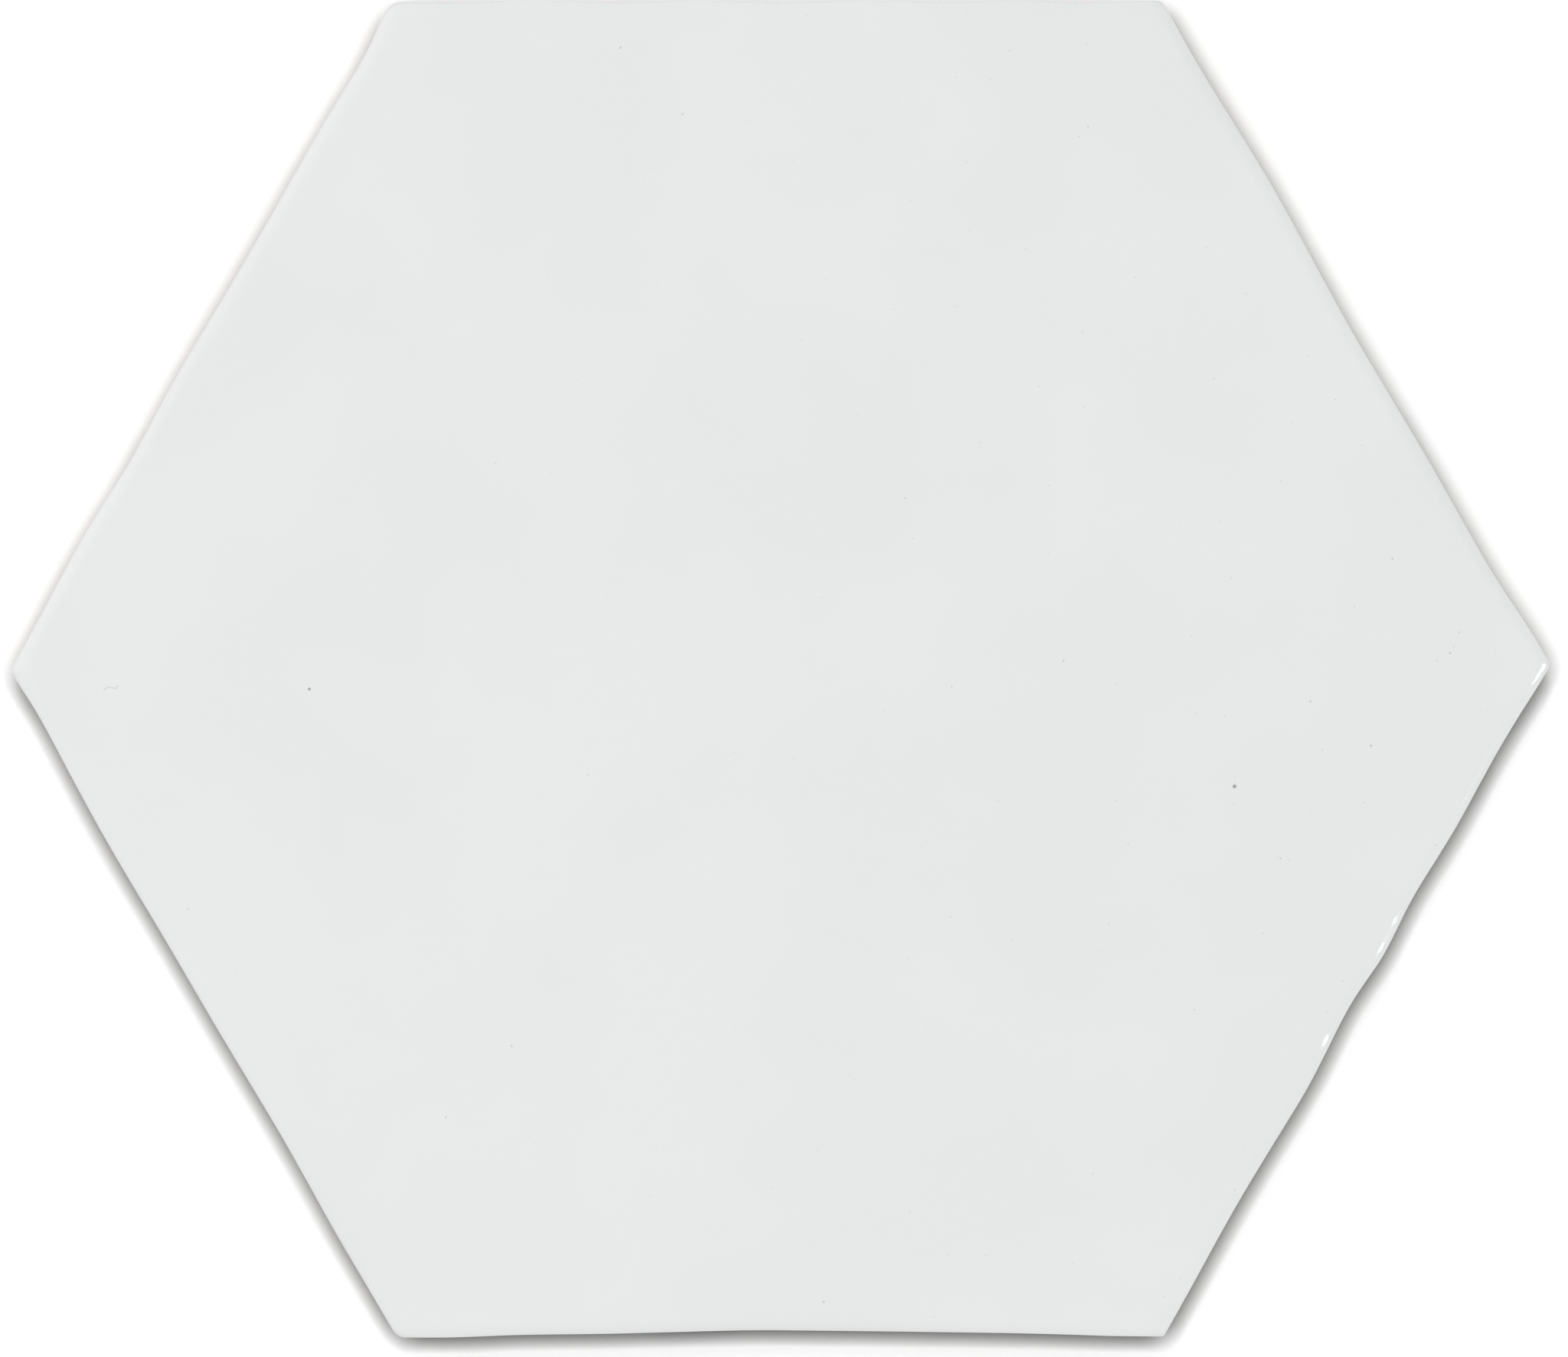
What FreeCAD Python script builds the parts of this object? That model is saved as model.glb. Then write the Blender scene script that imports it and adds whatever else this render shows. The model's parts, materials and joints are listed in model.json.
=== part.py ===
import FreeCAD, Part

import math
import os
from collections import namedtuple

# A glazed hexagon floor tile, lying on its back.
# It is one piece: a pressed clay body whose glaze was fired onto it, with sides that wander a
# little, as on a hand-finished tile, a top edge that the glaze rolls over, and a keyed back.
# Origin at the middle of the tile's footprint, on the plane that it rests on.
# +Z is up, out of the glazed face. +X points to a corner, and +Y is square to a flat side.

# Driving dimensions, in millimetres
ACROSS_FLATS = 174.0
THICKNESS = 9.0
RIM_ROUNDING = 2.0
WALL_DRAW_IN = 0.5
BACK_ARRIS = 0.6

# Keys pressed into the back, for the adhesive
KEY_ACROSS_FLATS = 15.0
KEY_RIB = 4.0
KEY_DEPTH = 0.8
KEY_BORDER = 6.0

# The sides, anticlockwise from above. Each faces a way, in degrees, ends in a corner with a
# rounding, and wanders through its swells: each is a share of the way along the side and how far
# the side stands out there, in millimetres.
Side = namedtuple("Side", "facing end_rounding swells")
TOP = Side(90, 2.4, (
    (0.0, 0.10), (0.10, -0.18), (0.18, 0.16), (0.26, -0.10), (0.38, 0.12), (0.49, -0.14),
    (0.62, 0.12), (0.72, -0.16), (0.82, 0.14), (0.90, -0.10), (1.0, -0.10),
))
UPPER_LEFT = Side(150, 0.8, (
    (0.0, 0.28), (0.05, -0.16), (0.12, -0.14), (0.33, -0.12), (0.45, -0.02), (0.58, 0.06),
    (0.70, -0.20), (0.78, 0.12), (0.85, 0.08), (1.0, -0.30),
))
LOWER_LEFT = Side(210, 1.9, (
    (0.0, 0.12), (0.05, -0.08), (0.12, 0.03), (0.26, 0.38), (0.40, 0.21), (0.52, 0.15),
    (0.60, 0.02), (0.75, -0.10), (0.83, 0.05), (1.0, -0.05),
))
BOTTOM = Side(270, 0.5, (
    (0.0, 0.62), (0.06, 0.62), (0.13, 0.35), (0.20, 0.23), (0.30, 0.07), (0.48, -0.33),
    (0.56, -0.23), (0.68, -0.10), (0.80, 0.06), (0.88, 0.25), (1.0, 0.50),
))
LOWER_RIGHT = Side(330, 1.2, (
    (0.0, 0.32), (0.20, 0.0), (0.30, 0.21), (0.39, 0.30), (0.51, -0.16), (0.565, 0.25),
    (0.64, -0.12), (0.75, 0.11), (0.85, -0.08), (0.93, -0.02), (1.0, 0.22),
))
UPPER_RIGHT = Side(30, 1.4, (
    (0.0, 0.50), (0.05, 0.38), (0.13, -0.07), (0.22, -0.07), (0.34, -0.02), (0.50, -0.22),
    (0.74, 0.22), (0.95, -0.20), (1.0, -0.10),
))
SIDES = (TOP, UPPER_LEFT, LOWER_LEFT, BOTTOM, LOWER_RIGHT, UPPER_RIGHT)

# From one side of a hexagon to the next, and the same at each of its corners
TURN_DEGREES = 60
TURN = math.radians(TURN_DEGREES)
SQUARE_ON = 90


def pointing(degrees):
    """A level vector of length one, pointing this way."""
    angle = math.radians(degrees)
    return FreeCAD.Vector(math.cos(angle), math.sin(angle), 0)


def corner_reach(across_flats):
    """How far a regular hexagon's corners are from its middle."""
    return across_flats / 2 / math.cos(TURN / 2)


def corner(side, following, inset, height):
    """Where a side, moved inwards, would meet the following one if the corner were sharp."""
    reach = ACROSS_FLATS / 2 - inset
    end = reach + side.swells[-1][1]
    start = reach + following.swells[0][1]
    along = (start - end * math.cos(TURN)) / math.sin(TURN)
    point = pointing(side.facing) * end + pointing(side.facing + SQUARE_ON) * along
    return point + FreeCAD.Vector(0, 0, height)


def side_curve(side, start, end):
    """A spline through the side's swells, straight on at both ends."""
    outwards = pointing(side.facing)
    onwards = pointing(side.facing + SQUARE_ON)
    first_swell = side.swells[0][1]
    last_swell = side.swells[-1][1]
    points = []
    for share, swell in side.swells:
        straight = first_swell + (last_swell - first_swell) * share
        points.append(start + (end - start) * share + outwards * (swell - straight))
    curve = Part.BSplineCurve()
    curve.interpolate(
        Points=points,
        Parameters=[share for share, swell in side.swells],
        InitialTangent=onwards,
        FinalTangent=onwards,
    )
    return curve


def corner_curve(start, point, end):
    """The arc that rounds a corner, as a spline whose middle pole is the sharp corner."""
    curve = Part.BSplineCurve()
    curve.buildFromPolesMultsKnots(
        [start, point, end], [3, 3], [0.0, 1.0], False, 2, [1.0, math.cos(TURN / 2), 1.0]
    )
    return curve


def outline(inset, height):
    """The curves round the tile at one inset and height, a side and then the corner it ends in."""
    followings = SIDES[1:] + SIDES[:1]
    corners = [
        corner(side, following, inset, height) for side, following in zip(SIDES, followings)
    ]
    curves = []
    for number, side in enumerate(SIDES):
        along = pointing(side.facing + SQUARE_ON)
        onwards = pointing(followings[number].facing + SQUARE_ON)
        cut_before = SIDES[number - 1].end_rounding * math.tan(TURN / 2)
        cut_after = side.end_rounding * math.tan(TURN / 2)
        start = corners[number - 1] + along * cut_before
        end = corners[number] - along * cut_after
        next_start = corners[number] + onwards * cut_after
        curves.append(side_curve(side, start, end))
        curves.append(corner_curve(end, corners[number], next_start))
    return curves


def strip(curves, row_weights):
    """The face over curves that match pole for pole, each curve one row of the face's poles."""
    first = curves[0]
    rise = len(curves) - 1
    weights = []
    for curve, row_weight in zip(curves, row_weights):
        weights.append([weight * row_weight for weight in curve.getWeights()])
    surface = Part.BSplineSurface()
    surface.buildFromPolesMultsKnots(
        [curve.getPoles() for curve in curves],
        [rise + 1, rise + 1],
        first.getMultiplicities(),
        [0.0, 1.0],
        first.getKnots(),
        False,
        False,
        rise,
        first.Degree,
        weights,
    )
    return surface.toShape()


def band(outlines, row_weights):
    """The ring of faces between outlines."""
    return [strip(curves, row_weights) for curves in zip(*outlines)]


def flat_face(curves):
    """The level face inside an outline."""
    return Part.Face(Part.Wire([curve.toShape() for curve in curves]))


def tile_body():
    """The tile before its back is keyed: arris, wall, rounded rim and flat glazed face."""
    foot = outline(WALL_DRAW_IN + BACK_ARRIS, 0)
    heel = outline(WALL_DRAW_IN, BACK_ARRIS)
    shoulder = outline(0, THICKNESS - RIM_ROUNDING)
    brow = outline(0, THICKNESS)
    plateau = outline(RIM_ROUNDING, THICKNESS)
    straight = (1.0, 1.0)
    quarter_round = (1.0, math.cos(math.radians(SQUARE_ON / 2)), 1.0)
    faces = [flat_face(foot), flat_face(plateau)]
    faces += band((foot, heel), straight)
    faces += band((heel, shoulder), straight)
    faces += band((shoulder, brow, plateau), quarter_round)
    shell = Part.makeShell(faces)
    shell.sewShape()
    body = Part.Solid(shell)
    if body.Volume < 0:
        body.reverse()
    return body


def hexagon_prism(middle, across_flats, corner_at, height):
    """A regular hexagon with a corner pointing this way, raised from the back's plane."""
    reach = corner_reach(across_flats)
    points = []
    for number in range(len(SIDES)):
        points.append(middle + pointing(corner_at + TURN_DEGREES * number) * reach)
    face = Part.Face(Part.makePolygon(points + points[:1]))
    return face.extrude(FreeCAD.Vector(0, 0, height))


def key_places(field_across_flats):
    """The middles of the keys: rings of a honeycomb, with a plain pad left in the middle."""
    pitch = KEY_ACROSS_FLATS + KEY_RIB
    row_step = pitch * math.cos(TURN / 2)
    rings = int((field_across_flats / 2 + corner_reach(KEY_ACROSS_FLATS)) / row_step)
    places = []
    for ring in range(1, rings + 1):
        for number in range(len(SIDES)):
            start = pointing(TURN_DEGREES * number) * ring * pitch
            onwards = pointing(TURN_DEGREES * (number + 2)) * pitch
            for step in range(ring):
                places.append(start + onwards * step)
    return places


def keys():
    """What the keys take out of the back: a honeycomb, cut off at the plain border."""
    field_across_flats = ACROSS_FLATS - 2 * KEY_BORDER
    cells = []
    for place in key_places(field_across_flats):
        cells.append(hexagon_prism(place, KEY_ACROSS_FLATS, TURN_DEGREES / 2, KEY_DEPTH))
    field = hexagon_prism(FreeCAD.Vector(), field_across_flats, 0, KEY_DEPTH)
    return Part.makeCompound(cells).common(field)


def hexagon_tile():
    """The finished tile, with its footprint's middle at the origin."""
    tile = tile_body().cut(keys()).Solids[0]
    box = tile.optimalBoundingBox(False, False)
    tile.translate(FreeCAD.Vector(-box.Center.x, -box.Center.y, 0))
    return tile


os.makedirs("parts", exist_ok=True)
tile = hexagon_tile()
tile.exportStep("parts/hexagon_tile.step")
box = tile.optimalBoundingBox(False, False)
print("hexagon_tile: volume", round(tile.Volume), "mm3, valid", tile.isValid())
print("box", round(box.XLength, 3), "x", round(box.YLength, 3), "x", round(box.ZLength, 3), "mm")
print("keys in the back:", len(keys().Solids))
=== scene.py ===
# %% [markdown]
# # A white hexagon floor tile
# This lesson dresses one glazed floor tile. The real tile is a single piece: clay is pressed in a
# mould, glaze is poured over its face, and both are fired together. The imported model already
# holds its true size and outline, so everything below is worked out from that frame. What is
# added is what the press and the kiln leave behind: the soft roll of the glaze over the edge, its
# lip on the wall, the pinholes, the dry clay of the wall, and the rounded keys of the back.

# %% Load the frame
import json
import math
from functools import partial

import bmesh
import bpy
import numpy as np
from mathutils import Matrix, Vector, geometry, noise

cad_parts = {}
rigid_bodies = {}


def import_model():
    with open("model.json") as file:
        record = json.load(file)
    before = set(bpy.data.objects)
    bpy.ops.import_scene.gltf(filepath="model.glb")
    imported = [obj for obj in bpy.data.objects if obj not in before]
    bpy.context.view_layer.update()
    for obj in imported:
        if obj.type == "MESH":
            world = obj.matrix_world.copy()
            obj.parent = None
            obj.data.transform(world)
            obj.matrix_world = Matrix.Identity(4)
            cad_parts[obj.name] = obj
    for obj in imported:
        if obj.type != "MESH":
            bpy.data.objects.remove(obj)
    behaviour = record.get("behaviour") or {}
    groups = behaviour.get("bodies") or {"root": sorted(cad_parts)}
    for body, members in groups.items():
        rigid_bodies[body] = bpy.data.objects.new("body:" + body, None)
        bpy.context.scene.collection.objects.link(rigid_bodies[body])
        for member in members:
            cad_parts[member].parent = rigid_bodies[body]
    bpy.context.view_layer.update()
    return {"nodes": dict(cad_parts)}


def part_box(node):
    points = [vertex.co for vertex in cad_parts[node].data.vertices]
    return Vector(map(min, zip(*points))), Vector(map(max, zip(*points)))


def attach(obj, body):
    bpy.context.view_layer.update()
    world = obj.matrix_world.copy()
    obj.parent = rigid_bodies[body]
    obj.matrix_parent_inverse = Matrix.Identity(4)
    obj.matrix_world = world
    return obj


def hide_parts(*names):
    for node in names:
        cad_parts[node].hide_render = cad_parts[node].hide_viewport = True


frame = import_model()
MM = 0.001
MICRON = 0.001 * MM
SIDES = 6
CORNER_TURN = math.radians(60)


def mm(length):
    """A length in millimetres, for printing."""
    return round(float(length) / MM, 2)


# %% [markdown]
# ## What the frame says
# The frame's tile is a mesh whose points all lie on the true surface. Where one surface ends and
# the next begins there is a full ring of them at one level: the foot, the heel above the worn
# lower edge, the floors of the keys, the shoulder where the wall ends and the rim begins, and the
# edge of the flat face. Reading those levels is better than typing the sizes again, because the
# tile and its dress then always agree.

# %% Read the tile's levels
LEVEL_DECIMALS = 6
cad_points = np.array([point.co for point in frame["nodes"]["hexagon_tile"].data.vertices])
box_low, box_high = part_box("hexagon_tile")
FACE_HEIGHT = box_high.z
HALF_WIDTH = box_high.y


def level_points(height):
    """The frame's points at one height, once each, in order round the middle."""
    level = cad_points[np.abs(cad_points[:, 2] - height) < MICRON][:, :2]
    level = level[np.argsort(np.arctan2(level[:, 1], level[:, 0]))]
    gap = np.linalg.norm(level - np.roll(level, 1, axis=0), axis=1)
    return level[gap > MICRON]


full_ring = len(level_points(FACE_HEIGHT))
levels = np.unique(np.round(cad_points[:, 2], LEVEL_DECIMALS)).tolist()
full_levels = [level for level in levels if len(level_points(level)) >= full_ring]
HEEL_HEIGHT, KEY_DEPTH, SHOULDER_HEIGHT = full_levels[1:4]
RIM_ROUNDING = FACE_HEIGHT - SHOULDER_HEIGHT
key_floor_points = level_points(KEY_DEPTH)
NOMINAL_MIDDLE = (key_floor_points.min(axis=0) + key_floor_points.max(axis=0)) / 2
FIELD_ACROSS_FLATS = float(np.ptp(key_floor_points[:, 1]))
print("levels:", [mm(level) for level in full_levels[:4]], "and the face at", mm(FACE_HEIGHT))
print("keys reach", mm(FIELD_ACROSS_FLATS), "mm across flats")
print("their middle:", [mm(part) for part in NOMINAL_MIDDLE])

# %% [markdown]
# ## A smooth outline
# The frame's outline has many points at the corners and few along the sides. That is enough for a
# model, but a glossy rim would show each straight stretch as a kink. A closed spline through the
# exact points brings the wander of the sides back. The tangent at each point leans on the longer
# of its two neighbouring stretches, because the short ones at a corner would swing the long side
# out of line. Every frame point stays where it is, which a subdivision surface would not keep.

# %% Spline through the shoulder
OUTLINE_STEP = 0.6 * MM


def spline_tangents(points, length):
    """The slope at each point, between those of its two stretches, the longer one counting more."""
    slope = (np.roll(points, -1, axis=0) - points) / length[:, None]
    before = np.roll(length, 1)
    both = before[:, None] * np.roll(slope, 1, axis=0) + length[:, None] * slope
    return both / (before + length)[:, None]


def closed_spline(points, step):
    """Points on a closed spline through the given ones, no further apart than the step."""
    ahead = np.roll(points, -1, axis=0)
    length = np.linalg.norm(ahead - points, axis=1)
    tangents = spline_tangents(points, length)
    fine = []
    for row, start in enumerate(points):
        leave = tangents[row] * length[row]
        arrive = tangents[(row + 1) % len(points)] * length[row]
        steps = math.ceil(length[row] / step)
        for t in np.arange(steps) / steps:
            held = (1 + 2 * t) * (1 - t) ** 2 * start + t * t * (3 - 2 * t) * ahead[row]
            fine.append(held + t * (1 - t) ** 2 * leave - t * t * (1 - t) * arrive)
    return np.array(fine)


shoulder_points = level_points(SHOULDER_HEIGHT)
outline = closed_spline(shoulder_points, OUTLINE_STEP)
outline = np.clip(outline, box_low[:2], box_high[:2])
print("outline:", len(shoulder_points), "frame points, now", len(outline))

# %% [markdown]
# ## Two measures of place
# The glaze behaves by its distance from the edge, so the script needs that distance for any point
# of the face. It also needs soft random waves, for the glaze and for the pressed wall. Both are
# plain functions that take many points at once.

# %% Inset and wander
SWING_GAIN = 1.6
outline_turn = np.arctan2(outline[:, 1], outline[:, 0])
outline_reach = np.hypot(outline[:, 0], outline[:, 1])


def inset_of(x, y):
    """How far in from the outline places are, measured square to the sides."""
    reach = np.interp(np.arctan2(y, x), outline_turn, outline_reach, period=2 * math.pi)
    return HALF_WIDTH * (1 - np.hypot(x, y) / reach)


def wander(x, y, wavelength, seed):
    """A smooth random swing from -1 to 1, with waves about this long."""
    places = zip(x / wavelength, y / wavelength)
    swing = [noise.noise(Vector((across, along, seed))) for across, along in places]
    return np.clip(SWING_GAIN * np.array(swing), -1, 1)


heel_points = level_points(HEEL_HEIGHT)
WALL_DRAW_IN = float(np.median(inset_of(heel_points[:, 0], heel_points[:, 1])))
print("the wall draws in", mm(WALL_DRAW_IN), "mm towards the heel")

# %% [markdown]
# ## Pinholes
# Gas leaves the clay through the melting glaze, and where the glaze sets too soon it leaves a
# pinhole, a smooth dimple a third of a millimetre wide, which the finish colours darker towards
# its bottom. The larger ones have their places here, in millimetres from the tile's middle. Near
# the left corner the glaze also crawled a little, which left one short hairline with a hook at its
# end. A row of overlapping small dimples along a bent line makes that.

# %% Places of the pinholes
# Right of the middle, above the middle, radius and depth
PINHOLES = (
    (59.5, -15.6, 0.32, 0.16), (-61.2, -2.9, 0.24, 0.15), (5.9, -82.9, 0.17, 0.08),
    (77.3, -10.3, 0.18, 0.09), (80.1, 14.1, 0.17, 0.08), (87.6, 1.8, 0.17, 0.08),
    (-20.6, 80.8, 0.18, 0.08), (-12.5, 72.1, 0.17, 0.07), (85.9, 0.8, 0.13, 0.06),
    (69.4, -4.5, 0.16, 0.08), (37.2, 0.8, 0.16, 0.07), (-34.8, -49.5, 0.16, 0.07),
    (-43.4, -58.8, 0.15, 0.07), (65.5, -25.0, 0.15, 0.07), (-77.0, -31.6, 0.15, 0.06),
    (40.4, 70.5, 0.15, 0.06), (39.2, 69.2, 0.13, 0.05), (22.6, -2.6, 0.15, 0.06),
    (16.5, 22.0, 0.15, 0.06), (-24.8, -14.1, 0.14, 0.06), (88.8, 4.5, 0.14, 0.06),
    (44.0, -17.5, 0.14, 0.05), (59.1, 11.6, 0.14, 0.05), (-36.9, 26.6, 0.14, 0.05),
    (72.6, 34.9, 0.14, 0.05), (78.1, -34.2, 0.13, 0.05),
)
CRAWL_LINE = ((-88.0, -3.0), (-87.5, -2.66), (-86.9, -2.74), (-86.4, -2.84), (-86.2, -2.4))
CRAWL_STEPS = 6
CRAWL_RADIUS = 0.1
CRAWL_DEPTH = 0.045
DIP_POWER = 1.5


def crawl_places():
    """Even steps along the crawl mark."""
    bends = np.array(CRAWL_LINE)
    places = []
    for start, end in zip(bends, bends[1:]):
        for step in range(CRAWL_STEPS):
            places.append(start + (end - start) * step / CRAWL_STEPS)
    return places


def all_dimples():
    """Every dimple's place, radius and depth, in metres."""
    dimples = list(PINHOLES)
    for x, y in crawl_places():
        dimples.append((x, y, CRAWL_RADIUS, CRAWL_DEPTH))
    dimples = np.array(dimples) * MM
    dimples[:, :2] += NOMINAL_MIDDLE
    return dimples


DIMPLES = all_dimples()
DEEPEST = DIMPLES[:, 3].max()


def dip(x, y):
    """How deep the dimples are at these places."""
    deep = np.zeros(len(x))
    for middle_x, middle_y, radius, depth in DIMPLES:
        share = np.hypot(x - middle_x, y - middle_y) / radius
        deep = np.maximum(deep, depth * np.clip(1 - share * share, 0, 1) ** DIP_POWER)
    return deep


print("dimples:", len(PINHOLES), "pinholes and a crawl mark of", len(crawl_places()))

# %% [markdown]
# ## The height of the glaze
# Glaze is glass that was once liquid. It lies almost flat, sags into very shallow hollows, and
# thins out towards the edge. The height is written as one function of place, so that the rings of
# the rim and the fill of the middle lie on the same surface and meet without a step.

# %% Height of the glazed face
EDGE_SAG = 0.08 * MM
EDGE_SAG_REACH = 3.0 * MM
SLOW_WAVE, SLOW_LENGTH, SLOW_SEED = 0.04 * MM, 38 * MM, 4.1
QUICK_WAVE, QUICK_LENGTH, QUICK_SEED = 0.006 * MM, 11 * MM, 9.7


def face_height(x, y):
    """The height of the glaze at these places."""
    sag = EDGE_SAG * np.exp(-np.maximum(inset_of(x, y), 0) / EDGE_SAG_REACH)
    slow = SLOW_WAVE * (1 + wander(x, y, SLOW_LENGTH, SLOW_SEED)) / 2
    quick = QUICK_WAVE * (1 + wander(x, y, QUICK_LENGTH, QUICK_SEED)) / 2
    return FACE_HEIGHT - sag - slow - quick - dip(x, y)


print("the face stays within", mm(SLOW_WAVE + QUICK_WAVE), "mm of flat, apart from its edge")

# %% [markdown]
# ## Rings from the foot to the face
# The edge of the tile is one profile carried round the outline: the worn lower edge, dry pressed
# clay, the lip where the glaze stopped running, the glazed wall and the rounded rim. A bevel could
# round the rim, but it can't make the glaze line wander. Here each ring is the outline shrunk
# towards the middle, which moves all six sides of a hexagon in by the same amount, so that rings
# never cross, not even at a sharp corner.

# %% Helpers for the rings
around_x, around_y = outline[:, 0], outline[:, 1]
RING = len(outline)


def ring(inset, height):
    """The outline moved in and raised, by one amount or by one for each of its points."""
    shrink = 1 - np.broadcast_to(inset, RING) / HALF_WIDTH
    return np.column_stack([outline * shrink[:, None], np.broadcast_to(height, RING)])


def wall_inset(height):
    """How far the wall is drawn in at a height."""
    return WALL_DRAW_IN * (SHOULDER_HEIGHT - height) / (SHOULDER_HEIGHT - HEEL_HEIGHT)


def quarter_turn(steps):
    """The angles of a quarter turn, both ends included."""
    return np.linspace(0, math.pi / 2, steps + 1)


def shares(steps):
    """Even shares of a stretch, up to its end."""
    return np.arange(1, steps + 1) / steps


print("each ring has", RING, "points")

# %% [markdown]
# The glaze line is not level. Glaze runs down a little further in some places before it sets, so
# the line is a slow wave with a few short runs below it.

# %% Clay below the glaze line
GLAZE_LINE = 3.9 * MM
LINE_WAVE, LINE_LENGTH, LINE_SEED = 0.8 * MM, 30 * MM, 12.5
RUN_DEPTH, RUN_LENGTH, RUN_SEED = 1.6 * MM, 8 * MM, 31.3
RUN_START = 0.35
CLAY_RECESS = 0.22 * MM
CLAY_WAVE, CLAY_LENGTH, CLAY_SEED = 0.05 * MM, 2.5 * MM, 50.5
ARRIS_STEPS = 6
CLAY_STEPS = 6

runs = np.maximum(wander(around_x, around_y, RUN_LENGTH, RUN_SEED) - RUN_START, 0)
line_swing = wander(around_x, around_y, LINE_LENGTH, LINE_SEED)
glaze_line = GLAZE_LINE + LINE_WAVE * line_swing - RUN_DEPTH * runs


def clay_rings():
    """The rounded lower edge and the dry wall, up to the glaze line."""
    rings = []
    for turn in quarter_turn(ARRIS_STEPS):
        inset = WALL_DRAW_IN + CLAY_RECESS + HEEL_HEIGHT * (1 - math.sin(turn))
        rings.append(ring(inset, HEEL_HEIGHT * (1 - math.cos(turn))))
    for number, share in enumerate(shares(CLAY_STEPS)):
        height = HEEL_HEIGHT + (glaze_line - HEEL_HEIGHT) * share
        dents = CLAY_WAVE * wander(around_x, around_y, CLAY_LENGTH, CLAY_SEED + number)
        rings.append(ring(wall_inset(height) + CLAY_RECESS + dents, height))
    return rings


clay_part = clay_rings()
print("glaze line from", mm(glaze_line.min()), "to", mm(glaze_line.max()), "mm up")

# %% [markdown]
# The rounded rim isn't equally wide everywhere. Liquid glaze draws back from a sharp corner, so
# its slope is broader there, and the lines of equal height turn the corner in a wider curve than
# the clay does. To know where the corners are, the script adds up how much the outline turns
# within a few millimetres. Short shallow waves run along the rim as well, and at the lower right
# three small beads of glaze have set on it. Corners, waves and beads all show in the glints.

# %% Width of the rim
RIM_CHANGE, RIM_LENGTH, RIM_SEED = 0.14, 17 * MM, 22.4
RIM_RIPPLE, RIPPLE_LENGTH, RIPPLE_SEED = 0.02 * MM, 4 * MM, 61.7
CORNER_WIDENING = 0.4
CORNER_REACH = 1.4 * MM
# Right of the middle and above the middle
RIM_BEADS = ((81.2, -32.3), (79.5, -35.5), (72.4, -47.8))
BEAD_WIDENING = 0.5 * MM
BEAD_REACH = 1.0 * MM


def corner_shares():
    """1 at a corner and 0 far from any, for each point of the outline."""
    stretch_on = np.roll(outline, -1, axis=0) - outline
    heading = np.arctan2(stretch_on[:, 1], stretch_on[:, 0])
    bend = (heading - np.roll(heading, 1) + math.pi) % (2 * math.pi) - math.pi
    away = np.linalg.norm(outline[:, None] - outline[None], axis=2)
    return np.exp(-((away / CORNER_REACH) ** 2) / 2) @ bend / CORNER_TURN


def bead_shares():
    """1 at a bead and 0 far from any, for each point of the outline."""
    share = np.zeros(RING)
    for bead in RIM_BEADS:
        away = np.linalg.norm(outline - NOMINAL_MIDDLE - np.array(bead) * MM, axis=1)
        share += np.exp(-(((away - away.min()) / BEAD_REACH) ** 2) / 2)
    return share


rim_change = RIM_CHANGE * wander(around_x, around_y, RIM_LENGTH, RIM_SEED)
rim_width = RIM_ROUNDING * (1 + rim_change + CORNER_WIDENING * corner_shares())
rim_width += RIM_RIPPLE * wander(around_x, around_y, RIPPLE_LENGTH, RIPPLE_SEED)
rim_width += BEAD_WIDENING * bead_shares()
print("the rim is", mm(rim_width.min()), "to", mm(rim_width.max()), "mm wide")

# %% Glaze above the line
LIP_RISE = 0.35 * MM
LIP_STEPS = 5
GLAZED_WALL_STEPS = 4
WALL_WAVE, WALL_LENGTH, WALL_SEED = 0.03 * MM, 7 * MM, 3.3
RIM_STEPS = 14
SHELF_WIDTHS = (0.7 * MM, 1.3 * MM)


def lip_and_wall():
    """The rounded lip of the glaze and the glazed wall, up to the shoulder."""
    rings = []
    for turn in quarter_turn(LIP_STEPS)[1:]:
        height = glaze_line + LIP_RISE * (1 - math.cos(turn))
        rings.append(ring(wall_inset(height) + CLAY_RECESS * (1 - math.sin(turn)), height))
    lip_top = glaze_line + LIP_RISE
    for share in shares(GLAZED_WALL_STEPS):
        height = lip_top + (SHOULDER_HEIGHT - lip_top) * share
        swing = wander(around_x, around_y, WALL_LENGTH, WALL_SEED + share)
        hollow = WALL_WAVE * (1 + swing) * (share < 1)
        rings.append(ring(wall_inset(height) + hollow, height))
    return rings


def rim_and_shelf():
    """The rounded rim and the first rings of the face."""
    rings = []
    rim_end = ring(rim_width, 0)
    rise = face_height(rim_end[:, 0], rim_end[:, 1]) - SHOULDER_HEIGHT
    for turn in quarter_turn(RIM_STEPS)[1:]:
        rings.append(ring(rim_width * (1 - math.cos(turn)), SHOULDER_HEIGHT + rise * math.sin(turn)))
    for width in SHELF_WIDTHS:
        shelf = ring(rim_width + width, 0)
        shelf[:, 2] = face_height(shelf[:, 0], shelf[:, 1])
        rings.append(shelf)
    return rings


glaze_part = lip_and_wall() + rim_and_shelf()
print("rings:", len(clay_part), "of clay and", len(glaze_part), "of glaze")

# %% [markdown]
# ## Fill of the face
# The middle could be one flat polygon, but then it could hold no hollows and no pinholes. Rows of
# points a little over a millimetre apart follow the slow waves, and small circles of points sit
# round each dimple. A Delaunay fill joins them into even triangles, which reflect without streaks.

# %% Points of the face
FILL_STEP = 1.3 * MM
FILL_NUDGE = 0.12
FILL_SEED = 7
FILL_MARGIN = 0.8 * MM
DIMPLE_CIRCLES = (0.35, 0.65, 0.9, 1.15, 1.7)
DIMPLE_SIDES = 8
DIMPLE_ROOM = 2.6
DIMPLE_CLOSEST = 0.035 * MM


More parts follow.
